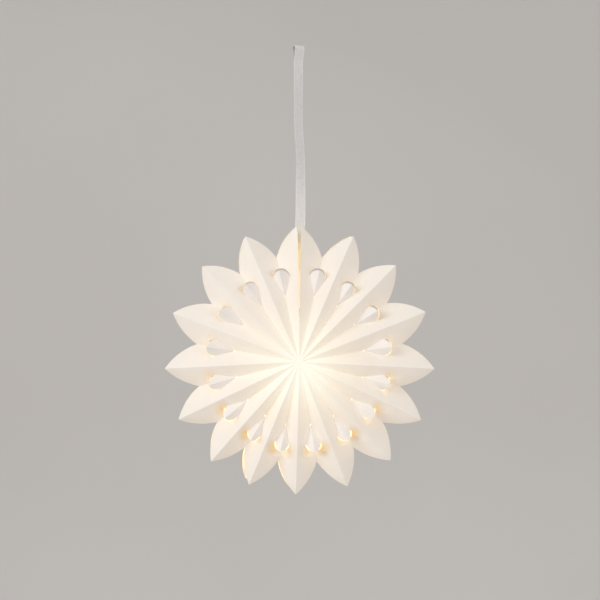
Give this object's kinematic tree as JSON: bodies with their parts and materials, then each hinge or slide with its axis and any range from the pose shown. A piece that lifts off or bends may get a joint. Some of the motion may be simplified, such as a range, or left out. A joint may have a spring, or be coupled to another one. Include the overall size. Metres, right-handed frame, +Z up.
{
  "type": "led paper star",
  "caption": "Round pleated paper star of petals with turned teardrop flaps, lit from inside by a small battery light and hung on a ribbon.",
  "frame": {"origin": "underside of the top of the ribbon's eye, where a hook bears", "axes": "+Z up, the front of the star faces -Y, +X to the right seen from the front"},
  "size_m": [0.3, 0.0806, 0.5004],
  "materials": {
    "card": "matt white card",
    "ribbon": "fine woven",
    "case_plastic": "fine grain",
    "screw_steel": "zinc plated",
    "cell_jacket": "satin jacket",
    "contact_nickel": "nickel plated",
    "board_green": "satin",
    "led_resin": "clear resin, lit",
    "resistor_ceramic": "matt",
    "frosted_shade": "frosted, lit",
    "switch_black": "matt",
    "slider_white": "matt"
  },
  "bodies": {
    "star": {"front_star": "card", "back_star": "card", "seam_strip": "card", "hanging_ribbon": "ribbon", "light_case": "case_plastic", "case_cover": "case_plastic", "cover_screw": "screw_steel", "left_cell": "cell_jacket", "right_cell": "cell_jacket", "spring_contact": "contact_nickel", "plate_contact": "contact_nickel", "bridge_contact": "contact_nickel", "circuit_board": "board_green", "led": "led_resin", "resistor": "resistor_ceramic", "lamp_dome": "frosted_shade", "switch_body": "switch_black"},
    "slider": {"switch_slider": "slider_white"}
  },
  "joints": [
    {"name": "switch_slide", "type": "slide", "parent": "star", "child": "slider", "axis": [1, 0, 0], "range_m": [0, 0.002]}
  ]
}
